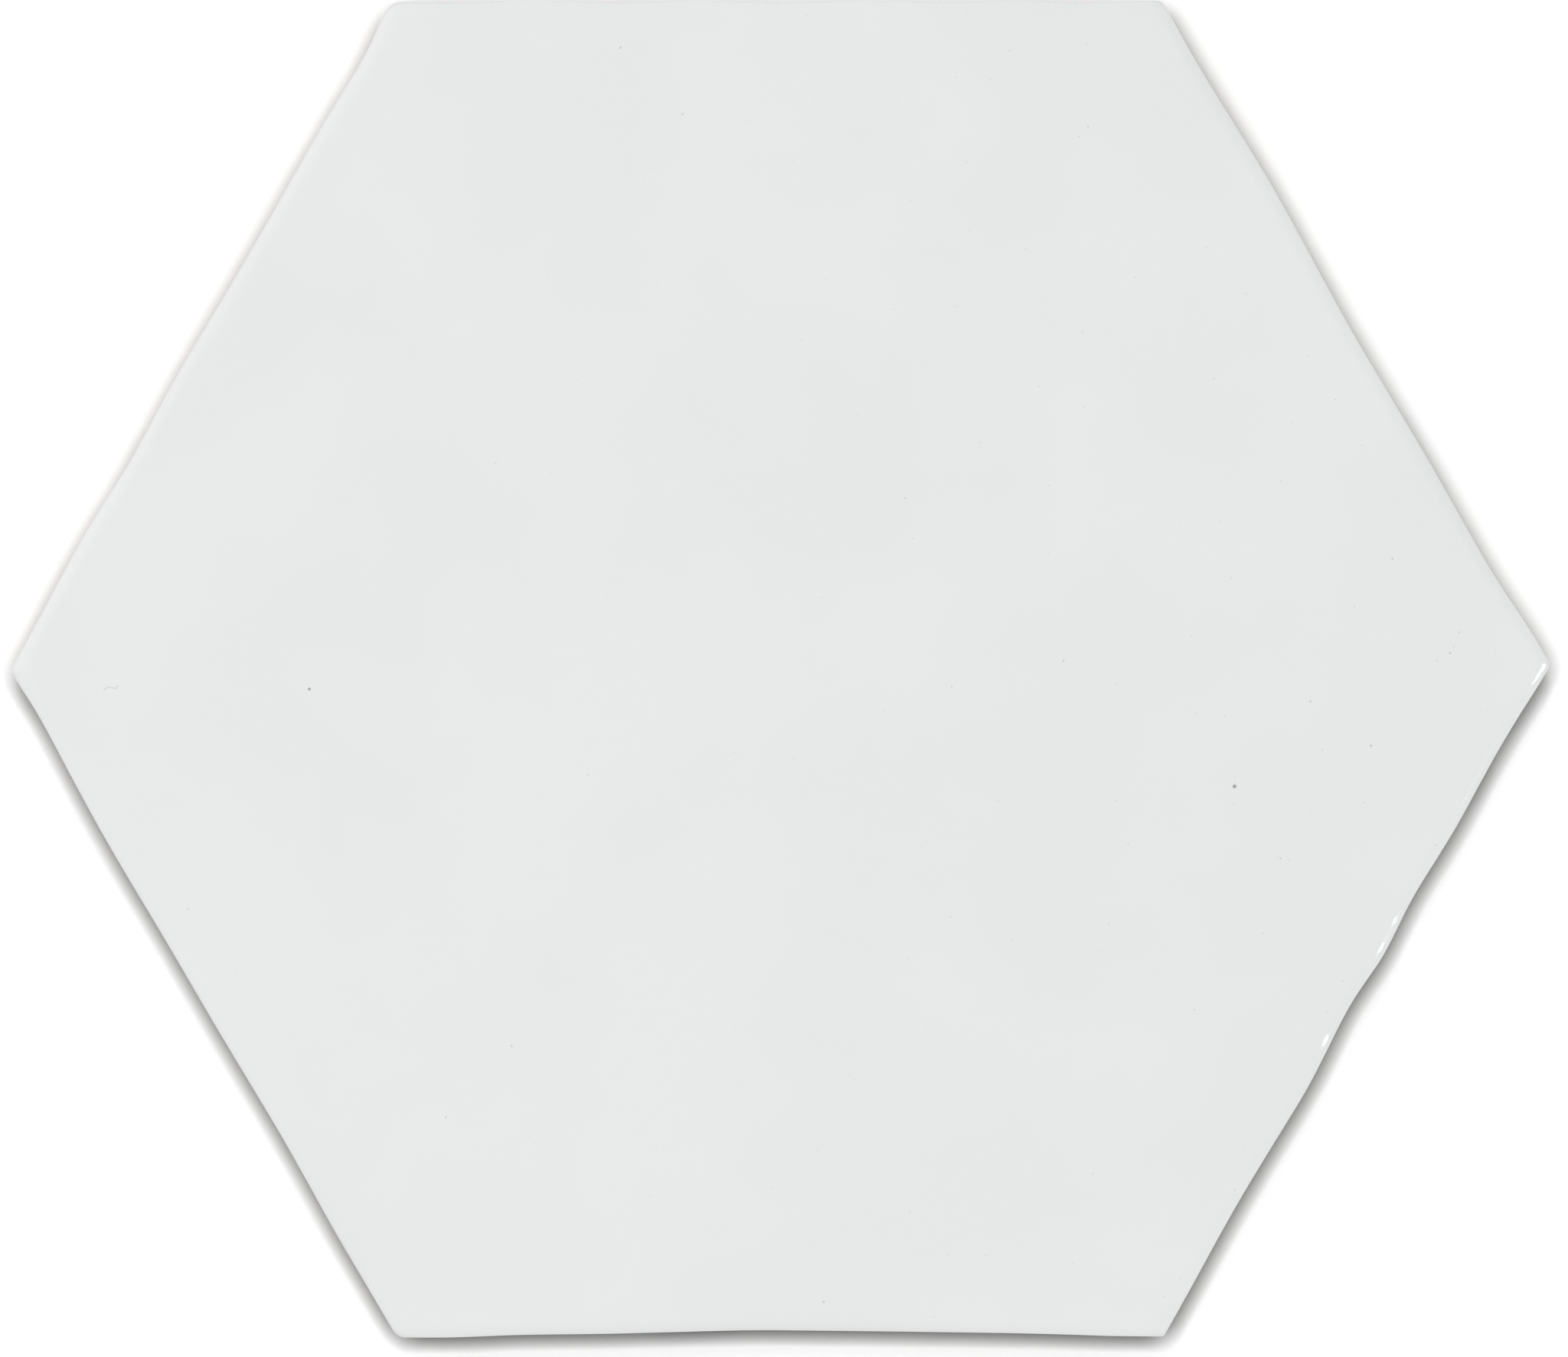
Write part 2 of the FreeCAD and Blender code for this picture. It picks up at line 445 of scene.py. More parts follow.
def rows_of_points():
    """Points in offset rows over the face, each nudged a little so that no grid shows."""
    dice = np.random.default_rng(FILL_SEED)
    row_step = FILL_STEP * math.sqrt(3) / 2
    columns = math.ceil(box_high.x / FILL_STEP)
    rows = math.ceil(box_high.y / row_step)
    column, row = np.meshgrid(np.arange(-columns, columns + 1), np.arange(-rows, rows + 1))
    across = (column + 0.5 * (row % 2)) * FILL_STEP
    places = np.column_stack([across.ravel(), row.ravel() * row_step])
    places += FILL_STEP * dice.uniform(-FILL_NUDGE, FILL_NUDGE, places.shape)
    azimuth = np.arctan2(places[:, 1], places[:, 0])
    taken = np.interp(azimuth, outline_turn, rim_width + SHELF_WIDTHS[-1], period=2 * math.pi)
    keep = inset_of(places[:, 0], places[:, 1]) > taken + FILL_MARGIN
    for middle_x, middle_y, radius, depth in DIMPLES:
        away = np.hypot(places[:, 0] - middle_x, places[:, 1] - middle_y)
        keep &= away > radius * DIMPLE_ROOM
    return places[keep]


def thinned(places, closest):
    """The places, without those that lie too close to an earlier one."""
    kept = places[:1]
    for place in places[1:]:
        if np.hypot(*(kept - place).T).min() > closest:
            kept = np.vstack([kept, place])
    return kept


def dimple_points():
    """Circles of points that carry each dimple's shape."""
    places = []
    for middle_x, middle_y, radius, depth in DIMPLES:
        places.append((middle_x, middle_y))
        for number, share in enumerate(DIMPLE_CIRCLES):
            for side in range(DIMPLE_SIDES):
                turn = 2 * math.pi * (side + 0.5 * (number % 2)) / DIMPLE_SIDES
                x = middle_x + radius * share * math.cos(turn)
                y = middle_y + radius * share * math.sin(turn)
                places.append((x, y))
    return thinned(np.array(places), DIMPLE_CLOSEST)


print("rows give", len(rows_of_points()), "points, dimples", len(dimple_points()))

# %% Fill between them
FILL_INSIDE = 1
FILL_CLOSENESS = 1e-5


def fill_face(border):
    """The points and triangles inside the innermost ring. The ring's own points keep their places."""
    places = np.concatenate([border[:, :2], rows_of_points(), dimple_points()]) / MM
    loop = [(number, (number + 1) % RING) for number in range(RING)]
    flat = [Vector(place) for place in places]
    result = geometry.delaunay_2d_cdt(flat, loop, [], FILL_INSIDE, FILL_CLOSENESS)
    filled = np.array([place[:] for place in result[0]]) * MM
    points = np.column_stack([filled, face_height(filled[:, 0], filled[:, 1])])
    for number, sources in enumerate(result[3]):
        if sources and min(sources) < RING:
            points[number] = border[min(sources)]
    return points, [tuple(face) for face in result[2]]


face_points, face_triangles = fill_face(glaze_part[-1])
print("face:", len(face_points), "points and", len(face_triangles), "triangles")

# %% [markdown]
# ## One helper for every node tree
# Materials and Geometry Nodes are both trees of nodes. A single helper adds a node, changes its
# settings and feeds its inputs, with either a plain value or another node's output. The rest of
# the lesson then reads as a list of what goes into what.

# %% Add a node to a tree


def add(tree, kind, feed=None, output=0, **settings):
    """Adds a node, feeds its inputs by name or number, and gives one of its outputs."""
    node = tree.nodes.new(kind)
    for name, value in settings.items():
        setattr(node, name, value)
    for name, value in (feed or {}).items():
        if isinstance(value, bpy.types.NodeSocket):
            tree.links.new(value, node.inputs[name])
        else:
            node.inputs[name].default_value = value
    return node.outputs[output]


def maths(tree, operation, first, second=0.0):
    """A sum on two numbers."""
    return add(tree, "ShaderNodeMath", {0: first, 1: second}, operation=operation)


def vectors(tree, operation, first, second):
    """A sum on two vectors."""
    return add(tree, "ShaderNodeVectorMath", {0: first, 1: second}, operation=operation)


def height_of(tree, vector):
    """The upward part of a vector."""
    return add(tree, "ShaderNodeSeparateXYZ", {"Vector": vector}, output="Z")


# %% [markdown]
# ## Finishes
# Two finishes cover the tile, white glaze and bare fired clay. Both are built from noise that
# reads Object coordinates, which here are metres on the tile. A grain so keeps its true size and
# stays in its place from every side.

# %% Helpers for finishes


def new_finish(name):
    """A new material: itself, its tree, its main shader and its place coordinates."""
    material = bpy.data.materials.new(name)
    material.use_nodes = True
    tree = material.node_tree
    place = add(tree, "ShaderNodeTexCoord", output="Object")
    return material, tree, tree.nodes["Principled BSDF"], place


def grain(tree, place, size, detail=2.0, roughness=0.5):
    """Noise with grains of this size."""
    feed = {"Vector": place, "Scale": 1 / size, "Detail": detail, "Roughness": roughness}
    return add(tree, "ShaderNodeTexNoise", feed)


def stretch(tree, value, low, high, to_low=0.0, to_high=1.0):
    """A value's range from low to high, stretched to a new range."""
    feed = {"Value": value, "From Min": low, "From Max": high, "To Min": to_low, "To Max": to_high}
    return add(tree, "ShaderNodeMapRange", feed)


def tint(tree, share, under, over):
    """A colour laid over another, by a share."""
    feed = {0: share, 6: under, 7: (*over, 1)}
    return add(tree, "ShaderNodeMix", feed, output=2, data_type="RGBA")


def relief(tree, height, depth, under=None):
    """A bump of this depth, laid over another bump if there is one."""
    feed = {"Height": height, "Distance": depth}
    if under is not None:
        feed["Normal"] = under
    return add(tree, "ShaderNodeBump", feed)


# %% [markdown]
# ### White glaze
# The glaze is a slightly cool white. Its colour drifts by about a percent, in clouds, and tiny
# specks of ash and burst bubbles lie in it, more of them towards the right. A Voronoi texture has
# one point in each cell, and only what is very close to such a point is darkened: the face cuts
# each of these small balls at another height, so the specks differ in size. On the wall the glaze
# is thin and the body shows through it. The grey laid there is darker than the body, so it is also
# painted shade along the steep edge. The pinholes are coloured darker towards their bottoms, and
# the mesh says where, through an attribute. The gloss is high, with a very faint ripple.

# %% White glaze
GLAZE_WHITE = (0.800, 0.818, 0.808)
GLAZE_CLOUD = (0.786, 0.804, 0.795)
# Grey of the thin glaze on the wall, darker than the body: partly thin glaze, partly painted shade
# along the steep edge
THIN_GLAZE_EDGE_SHADE = (0.54, 0.545, 0.54)
THIN_SHADED_BAND = (0.9 * MM, 2.4 * MM)
SPECK_GREY = (0.66, 0.67, 0.66)
# Dark colour laid in the dimples, strongest at their bottoms
PIT_DARK = (0.20, 0.19, 0.18)
CLOUD_SIZE, CLOUD_RANGE = 26 * MM, (0.40, 0.62)
SPECK_SPACING = 3.1 * MM
SPECK_RADIUS, SPECK_CORE = 0.17 * MM, 0.4
SPECKS_REACH, SPECKS_AT_LEFT = 0.6 * box_high.x, 0.25
POLISH_SIZE, POLISH_RANGE = 14 * MM, (0.35, 0.65)
POLISH_ROUGHNESS = (0.08, 0.13)
SHEEN_SIZE, SHEEN_DEPTH = 2.4 * MM, 0.004 * MM
GLAZE_IOR = 1.52
PIT_DARK_ATTRIBUTE = "pit_dark"


def glaze_colour(tree, place):
    """White with clouds, a thin wall with painted edge shade, specks and darkened pinholes."""
    clouds = stretch(tree, grain(tree, place, CLOUD_SIZE, 3.0), *CLOUD_RANGE)
    colour = tint(tree, clouds, (*GLAZE_WHITE, 1), GLAZE_CLOUD)
    # Thin glaze and painted edge shade on the wall, fading in below the face
    starts, ends = [FACE_HEIGHT - below for below in THIN_SHADED_BAND]
    colour = tint(tree, stretch(tree, height_of(tree, place), starts, ends), colour, THIN_GLAZE_EDGE_SHADE)
    cells = add(tree, "ShaderNodeTexVoronoi", {"Vector": place, "Scale": 1 / SPECK_SPACING})
    edge = SPECK_RADIUS / SPECK_SPACING
    speck = stretch(tree, cells, edge * SPECK_CORE, edge, 1, 0)
    across = add(tree, "ShaderNodeSeparateXYZ", {"Vector": place})
    fewer_at_left = stretch(tree, across, -SPECKS_REACH, SPECKS_REACH, SPECKS_AT_LEFT)
    colour = tint(tree, maths(tree, "MULTIPLY", speck, fewer_at_left), colour, SPECK_GREY)
    pit_dark = add(tree, "ShaderNodeAttribute", output="Fac", attribute_name=PIT_DARK_ATTRIBUTE)
    return tint(tree, pit_dark, colour, PIT_DARK)


def white_glaze():
    """Glossy white glaze."""
    material, tree, shader, place = new_finish("poured_white_glaze")
    tree.links.new(glaze_colour(tree, place), shader.inputs["Base Color"])
    polish = stretch(tree, grain(tree, place, POLISH_SIZE), *POLISH_RANGE, *POLISH_ROUGHNESS)
    tree.links.new(polish, shader.inputs["Roughness"])
    ripple = relief(tree, grain(tree, place, SHEEN_SIZE, 1.0), SHEEN_DEPTH)
    tree.links.new(ripple, shader.inputs["Normal"])
    shader.inputs["IOR"].default_value = GLAZE_IOR
    return material


glaze_finish = white_glaze()
print(glaze_finish.name, "has", len(glaze_finish.node_tree.nodes), "nodes")

# %% [markdown]
# ### Bare fired clay
# Below the glaze line and on the back the pressed clay is dry, matt and warm. It shows patches
# where it was denser, fine sand, a few dark iron specks, and a pale bloom of the powder that kept
# it from sticking in the kiln. Most of that powder is on the land of the back, which lay on it,
# and hardly any in the keys, so their honeycomb also shows in the colour.

# %% Bare clay
CLAY_CREAM = (0.68, 0.63, 0.55)
CLAY_DENSE = (0.57, 0.515, 0.435)
CLAY_BLOOM = (0.77, 0.745, 0.70)
LAND_POWDER = (0.84, 0.825, 0.79)
POWDER_SHARES = (0.45, 0.85)
PATCH_SIZE, PATCH_RANGE = 16 * MM, (0.40, 0.65)
BLOOM_SIZE, BLOOM_RANGE, BLOOM_SHARE = 7 * MM, (0.48, 0.68), 0.75
POWDER_SIZE, POWDER_RANGE = 5 * MM, (0.35, 0.6)
LAND_ENDS = (0.1 * KEY_DEPTH, 0.7 * KEY_DEPTH)
IRON_BROWN = (0.24, 0.17, 0.12)
IRON_SPACING = 2.6 * MM
IRON_RADIUS, IRON_CORE, IRON_SHARE = 0.16 * MM, 0.5, 0.8
LUMP_SIZE, LUMP_DEPTH = 2.6 * MM, 0.12 * MM
SAND_SIZE, SAND_DEPTH = 0.5 * MM, 0.05 * MM
CLAY_ROUGHNESS, CLAY_IOR = 0.88, 1.45


def clay_colour(tree, place):
    """Cream clay with denser patches, bloom, powder on the land of the back, and iron specks."""
    patches = stretch(tree, grain(tree, place, PATCH_SIZE, 4.0), *PATCH_RANGE)
    colour = tint(tree, patches, (*CLAY_CREAM, 1), CLAY_DENSE)
    bloom = stretch(tree, grain(tree, place, BLOOM_SIZE, 6.0, 0.7), *BLOOM_RANGE, 0, BLOOM_SHARE)
    colour = tint(tree, bloom, colour, CLAY_BLOOM)
    on_land = stretch(tree, height_of(tree, place), *LAND_ENDS, 1, 0)
    powder = stretch(tree, grain(tree, place, POWDER_SIZE, 4.0), *POWDER_RANGE, *POWDER_SHARES)
    colour = tint(tree, maths(tree, "MULTIPLY", on_land, powder), colour, LAND_POWDER)
    cells = add(tree, "ShaderNodeTexVoronoi", {"Vector": place, "Scale": 1 / IRON_SPACING})
    edge = IRON_RADIUS / IRON_SPACING
    specks = stretch(tree, cells, edge * IRON_CORE, edge, IRON_SHARE, 0)
    return tint(tree, specks, colour, IRON_BROWN)


def bare_clay():
    """Matt fired clay."""
    material, tree, shader, place = new_finish("bare_fired_clay")
    tree.links.new(clay_colour(tree, place), shader.inputs["Base Color"])
    lumps = relief(tree, grain(tree, place, LUMP_SIZE, 3.0), LUMP_DEPTH)
    sand = relief(tree, grain(tree, place, SAND_SIZE, 3.0, 0.6), SAND_DEPTH, lumps)
    tree.links.new(sand, shader.inputs["Normal"])
    shader.inputs["Roughness"].default_value = CLAY_ROUGHNESS
    shader.inputs["IOR"].default_value = CLAY_IOR
    return material


clay_finish = bare_clay()
print(clay_finish.name, "has", len(clay_finish.node_tree.nodes), "nodes")

# %% [markdown]
# ## The body, open at the back
# The rings are bridged from the foot up, and the fill of the face is joined on. Both share the
# innermost ring, so merging the points that coincide closes the seam. The back stays open for
# now, because its keys repeat, and Geometry Nodes make those next.

# %% Join the edge and the face


def bridge(ring_count):
    """The faces between rings whose points are stored one ring after the other."""
    faces = []
    for low in range(0, (ring_count - 1) * RING, RING):
        for step in range(RING):
            ahead = (step + 1) % RING
            faces.append((low + step, low + ahead, low + RING + ahead, low + RING + step))
    return faces


def open_body():
    """The edge and the face as one mesh: bare below the glaze line, glazed above it."""
    edge_points = np.concatenate(clay_part + glaze_part)
    edge_faces = bridge(len(clay_part) + len(glaze_part))
    shift = len(edge_points)
    faces = edge_faces + [tuple(corner + shift for corner in face) for face in face_triangles]
    points = np.concatenate([edge_points, face_points])
    mesh = bpy.data.meshes.new("glazed_tile")
    mesh.from_pydata(points.tolist(), [], faces)
    mesh.materials.append(glaze_finish)
    mesh.materials.append(clay_finish)
    is_clay = np.arange(len(faces)) < (len(clay_part) - 1) * RING
    mesh.polygons.foreach_set("material_index", is_clay.astype(np.int32))
    # How deep each point lies in a dimple, which colours it darker
    pit_dark = mesh.attributes.new(PIT_DARK_ATTRIBUTE, "FLOAT", "POINT")
    pit_dark.data.foreach_set("value", dip(points[:, 0], points[:, 1]) / DEEPEST)
    return mesh


def merged(mesh):
    """The same mesh with the points that coincide made one."""
    work = bmesh.new()
    work.from_mesh(mesh)
    bmesh.ops.remove_doubles(work, verts=work.verts, dist=MICRON / 2)
    work.to_mesh(mesh)
    work.free()
    return mesh


tile = bpy.data.objects.new("glazed_tile", merged(open_body()))
bpy.context.scene.collection.objects.link(tile)
print("open body:", len(tile.data.vertices), "points and", len(tile.data.polygons), "faces")

# %% [markdown]
# ## The keyed back
# The press leaves a honeycomb of shallow keys in the back, for the adhesive to grip. It stops at a
# plain border, and the middle stays a plain pad. That is a rule and not a drawing, so Geometry
# Nodes build it from a few named sizes. First come the outlines: a lattice of points, a prism on
# each, and a Boolean with one large prism, which cuts the honeycomb off at the border.

# %% Sizes of the keys
KEY_SIZES = {
    "Key across flats": 15 * MM,
    "Rib": 4 * MM,
    "Key depth": KEY_DEPTH,
    "Field across flats": FIELD_ACROSS_FLATS,
    "Corner rounding": 1.3 * MM,
    "Wall lean": 0.12 * MM,
    "Lip rounding": 0.3 * MM,
    "Bare below": HEEL_HEIGHT + KEY_DEPTH,
}
LATTICE = 15
CELL_TURN = CORNER_TURN / 2
FILLET_STEPS = 3
CUTTER_DEPTHS = 3
FACING_DOWN = -0.5

back_tree = bpy.data.node_groups.new("keyed_back", "GeometryNodeTree")
# The two helpers again, for this tree alone
node = partial(add, back_tree)
figure = partial(maths, back_tree)


def tree_socket(name, kind, way="INPUT"):
    """A named input or output of the tree."""
    return back_tree.interface.new_socket(name, in_out=way, socket_type="NodeSocket" + kind)


tree_socket("Body", "Geometry")
tree_socket("Tile", "Geometry", "OUTPUT")
size_sockets = {name: tree_socket(name, "Float") for name in KEY_SIZES}
middle_socket = tree_socket("Middle", "Vector")
clay_socket = tree_socket("Clay", "Material")
given = back_tree.nodes.new("NodeGroupInput").outputs
print("tree inputs:", [socket.name for socket in given if socket.name])

# %% Lattice of points


def corner_reach(across_flats):
    """How far a regular hexagon's corners are from its middle."""
    return figure("DIVIDE", across_flats, 2 * math.cos(CELL_TURN))


def lattice_place():
    """Where each point of the lattice goes, worked out from its number."""
    number = node("GeometryNodeInputIndex")
    row = figure("FLOOR", figure("DIVIDE", number, LATTICE))
    row = figure("SUBTRACT", row, LATTICE // 2)
    column = figure("FLOORED_MODULO", number, LATTICE)
    column = figure("SUBTRACT", column, LATTICE // 2)
    half_step = figure("DIVIDE", figure("FLOORED_MODULO", row, 2), 2)
    pitch = figure("ADD", given["Key across flats"], given["Rib"])
    row_step = figure("MULTIPLY", pitch, math.cos(CELL_TURN))
    across = figure("MULTIPLY", figure("ADD", column, half_step), pitch)
    along = figure("MULTIPLY", row, row_step)
    return node("ShaderNodeCombineXYZ", {"X": across, "Y": along})


def lattice_points():
    """A point for each key, with the middle one left out."""
    feed = {"Count": LATTICE * LATTICE, "Position": lattice_place()}
    points = node("GeometryNodePoints", feed)
    place = node("GeometryNodeInputPosition")
    away = node("ShaderNodeVectorMath", {0: place}, output="Value", operation="LENGTH")
    central = figure("LESS_THAN", away, given["Rib"])
    feed = {"Geometry": points, "Selection": central}
    return node("GeometryNodeDeleteGeometry", feed, domain="POINT")


# %% [markdown]
# The Boolean gives back prisms. Only their lower faces are wanted, and their edges become closed
# curves. A curve taken from a mesh may run either way round, so those that run clockwise are
# turned, because the next step lays a profile along them and has to know which side is outside.
# That turn is a matter of points, and the choice to reverse one of curves: Evaluate on Domain
# keeps the two apart, as without it every point would be its curve's mean and nothing would turn.

# %% Outlines of the keys


def half_key_depth():
    """Half a key's depth, where the prisms have their middle."""
    return figure("DIVIDE", given["Key depth"], 2)


def prism(across_flats, depth):
    """A hexagonal prism with its middle at half a key's depth."""
    feed = {"Vertices": SIDES, "Radius": corner_reach(across_flats), "Depth": depth}
    standing = node("GeometryNodeMeshCylinder", feed, fill_type="NGON")
    lift = node("ShaderNodeCombineXYZ", {"Z": half_key_depth()})
    return node("GeometryNodeTransform", {"Geometry": standing, "Translation": lift})


def cut_cells():
    """The honeycomb's cells, cut off at the plain border, as flat faces."""
    feed = {
        "Points": lattice_points(),
        "Instance": prism(given["Key across flats"], given["Key depth"]),
        "Rotation": (0, 0, CELL_TURN),
    }
    cells = node("GeometryNodeInstanceOnPoints", feed)
    cells = node("GeometryNodeRealizeInstances", {"Geometry": cells})
    cutter_depth = figure("MULTIPLY", given["Key depth"], CUTTER_DEPTHS)
    field = prism(given["Field across flats"], cutter_depth)
    boolean = back_tree.nodes.new("GeometryNodeMeshBoolean")
    boolean.operation = "INTERSECT"
    boolean.solver = "MANIFOLD"
    back_tree.links.new(cells, boolean.inputs["Mesh 2"])
    back_tree.links.new(field, boolean.inputs["Mesh 2"])
    upright = height_of(back_tree, node("GeometryNodeInputNormal"))
    others = figure("GREATER_THAN", upright, FACING_DOWN)
    feed = {"Geometry": boolean.outputs["Mesh"], "Selection": others}
    return node("GeometryNodeDeleteGeometry", feed, domain="FACE")


def found_on(domain, value, kind):
    """A value worked out for each point or each curve, whatever it is then used for."""
    return node("GeometryNodeFieldOnDomain", {0: value}, domain=domain, data_type=kind)


def anticlockwise(curves):
    """The same curves, those that run clockwise turned round."""
    place = node("GeometryNodeInputPosition")
    spoke = vectors(back_tree, "SUBTRACT", place, found_on("CURVE", place, "FLOAT_VECTOR"))
    tangent = node("GeometryNodeInputTangent")
    turn = height_of(back_tree, vectors(back_tree, "CROSS_PRODUCT", spoke, tangent))
    clockwise = figure("LESS_THAN", found_on("POINT", turn, "FLOAT"), 0)
    return node("GeometryNodeReverseCurve", {"Curve": curves, "Selection": clockwise})


def key_outlines():
    """A closed curve round each key, its corners rounded."""
    curves = node("GeometryNodeMeshToCurve", {"Mesh": cut_cells()})
    feed = {
        "Curve": curves,
        "Count": FILLET_STEPS,
        "Radius": given["Corner rounding"],
        "Limit Radius": True,
    }
    rounded = node("GeometryNodeFilletCurve", feed, mode="POLY")
    feed = {"Geometry": rounded, "Translation": given["Middle"]}
    return anticlockwise(node("GeometryNodeTransform", feed))


# %% [markdown]
# A key is not a sharp-edged pocket. Its mouth is rounded over, its wall leans so that the press
# lets go, and its floor curves up into the wall. Four points and a fillet draw that profile, and
# Curve to Mesh carries it round every outline at once.

# %% Walls of the keys
LAND_EDGE = 0.6 * MM
FLOOR_EDGE = 0.7 * MM


def profile_point(out, into):
    """A point of the profile: outwards is X, and into the clay is minus Y."""
    return node("ShaderNodeCombineXYZ", {"X": out, "Y": into})


def wall_profile():
    """The section of a key's wall, from the land over the lip and down to the floor."""
    lean = given["Wall lean"]
    inwards = figure("MULTIPLY", lean, -1)
    into = figure("MULTIPLY", given["Key depth"], -1)
    feed = {
        "Point 1": profile_point(LAND_EDGE, 0),
        "Point 2": profile_point(lean, 0),
        "Point 3": profile_point(inwards, into),
        "Point 4": profile_point(-FLOOR_EDGE, into),
    }
    drawn = node("GeometryNodeCurvePrimitiveQuadrilateral", feed, mode="POINTS")
    opened = node("GeometryNodeSetSplineCyclic", {"Geometry": drawn, "Cyclic": False})
    feed = {"Curve": opened, "Count": FILLET_STEPS, "Radius": given["Lip rounding"]}
    return node("GeometryNodeFilletCurve", feed, mode="POLY")


def key_walls():
    """The walls of all the keys."""
    level = node("GeometryNodeSetCurveNormal", {"Curve": key_outlines()}, mode="Z_UP")
    feed = {"Curve": level, "Profile Curve": wall_profile()}
    return node("GeometryNodeCurveToMesh", feed)


# %% [markdown]
# What is left is flat: the land between the keys and the keys' floors. Both are filled between
# edges that already exist, so that every new face shares its points with its neighbours.

# %% Land and floors
# An open edge has one face and any other has two
OPEN_BELOW = 1.5


def open_edges(mesh, side):
    """A mesh's open edges as curves, those on one side of half a key's depth."""
    neighbours = node("GeometryNodeInputMeshEdgeNeighbors")
    single = figure("LESS_THAN", neighbours, OPEN_BELOW)
    height = height_of(back_tree, node("GeometryNodeInputPosition"))
    wanted = figure("MULTIPLY", single, figure(side, height, half_key_depth()))
    return node("GeometryNodeMeshToCurve", {"Mesh": mesh, "Selection": wanted})


def joined(*parts):
    """Several geometries as one."""
    join = back_tree.nodes.new("GeometryNodeJoinGeometry")
    for part in parts:
        back_tree.links.new(part, join.inputs[0])
    return join.outputs[0]


walls = key_walls()
borders = joined(open_edges(given["Body"], "LESS_THAN"), open_edges(walls, "LESS_THAN"))
land = node("GeometryNodeFillCurve", {"Curve": borders}, mode="TRIANGLES")
floor_borders = open_edges(walls, "GREATER_THAN")
floors = node("GeometryNodeFillCurve", {"Curve": floor_borders}, mode="NGONS")
rise = node("ShaderNodeCombineXYZ", {"Z": given["Key depth"]})
floors = node("GeometryNodeSetPosition", {"Geometry": floors, "Offset": rise})

# %% Close the tile
closed = joined(given["Body"], land, walls, floors)
closed = node("GeometryNodeMergeByDistance", {"Geometry": closed, "Distance": MICRON})
closed = node("GeometryNodeRealizeInstances", {"Geometry": closed})
height = height_of(back_tree, node("GeometryNodeInputPosition"))
low = figure("LESS_THAN", height, given["Bare below"])
feed = {"Geometry": closed, "Selection": low, "Material": given["Clay"]}
finished = node("GeometryNodeSetMaterial", feed)
back_tree.links.new(finished, back_tree.nodes.new("NodeGroupOutput").inputs["Tile"])

modifier = tile.modifiers.new("keyed_back", "NODES")
modifier.node_group = back_tree
for name, value in KEY_SIZES.items():
    modifier[size_sockets[name].identifier] = value
modifier[middle_socket.identifier] = (*NOMINAL_MIDDLE.tolist(), 0.0)
modifier[clay_socket.identifier] = clay_finish
print("tree of", len(back_tree.nodes), "nodes")

# %% [markdown]
# ## From nodes to a plain mesh
# The result is turned into an ordinary mesh, and the modifier goes, so that what is handed on is
# the tile itself. All normals are made to point outwards, and the edges that turn sharply stay
# crisp: the line where the glaze ends on the clay is one of them.

# %% Plain mesh
SHARP_EDGE = math.radians(32)


def applied(thing):
    """The object's finished mesh, with its modifier's work in it."""
    seen = thing.evaluated_get(bpy.context.evaluated_depsgraph_get())
    return bpy.data.meshes.new_from_object(seen)


def drop_empty_slots(mesh):
    """Takes away material slots that hold nothing, which joining leaves behind."""
    for number in reversed(range(len(mesh.materials))):
        if mesh.materials[number] is None:
            mesh.materials.pop(index=number)


def point_outwards(mesh):
    """Turns the faces outwards, and gives the volume and the number of open edges."""
    work = bmesh.new()
    work.from_mesh(mesh)
    bmesh.ops.recalc_face_normals(work, faces=work.faces)
    volume = work.calc_volume(signed=True)
    open_count = sum(len(edge.link_faces) != 2 for edge in work.edges)
    work.to_mesh(mesh)
    work.free()
    return volume, open_count


tile_mesh = applied(tile)
tile.modifiers.clear()
tile.data = tile_mesh
drop_empty_slots(tile_mesh)
volume, open_count = point_outwards(tile_mesh)
tile_mesh.shade_smooth()
tile_mesh.set_sharp_from_angle(angle=SHARP_EDGE)
triangles = sum(len(face.vertices) - 2 for face in tile_mesh.polygons)
print("tile:", triangles, "triangles,", open_count, "open edges,", round(volume / MM**3), "mm3")
for number, material in enumerate(tile_mesh.materials):
    face_count = sum(face.material_index == number for face in tile_mesh.polygons)
    print(material.name, "on", face_count, "faces")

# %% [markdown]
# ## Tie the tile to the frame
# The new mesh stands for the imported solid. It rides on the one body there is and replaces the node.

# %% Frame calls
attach(tile, "root")
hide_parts("hexagon_tile")
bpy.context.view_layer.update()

# %% [markdown]
# ## Where the light comes from
# A direction is easiest to give as two angles. The azimuth turns from the corner at the right
# towards the top of the picture, and the elevation rises from the floor. Both the floor's contact
# shadow and the lamps use it.

# %% Directions
KEY_FROM, KEY_RISE = 101, 60


def towards(azimuth, elevation):
    """The direction to a lamp, both angles in degrees."""
    turn, lift = math.radians(azimuth), math.radians(elevation)
    return Vector((math.cos(turn) * math.cos(lift), math.sin(turn) * math.cos(lift), math.sin(lift)))


print("light from", [round(part, 2) for part in towards(KEY_FROM, KEY_RISE)])

# %% [markdown]
# ## A white floor that keeps the shadow
# The floor is white by its own colour, lifted a little for the camera alone, so that no extra
# light falls on the tile. It starts at the tile's foot, so that the sky below lights the back, and
# from below it is clear, so that the keys can be looked at.
#
# A tile lies close on its floor, and the gap at its foot is dark. An Ambient Occlusion node finds
# how much of the near surroundings the tile hides. Its normal leans towards the key light, so the
# contact shadow is wider and darker on the side away from it. Reflections see plain white with
# the same shadow, which draws a fine grey line along the glossy edge. The share is squared, so
# that the shadow is dark at the foot and fades quickly.

# %% Floor
FLOOR_WHITE = 0.95
FLOOR_LIFT = 0.22
LIFT_COLOUR = (0.97, 1.0, 1.03)
FLOOR_SPREAD = 40
FLOOR_INSET = 2.4 * MM
FLOOR_DROP = 0.02 * MM
CONTACT_REACH = 3.3 * MM


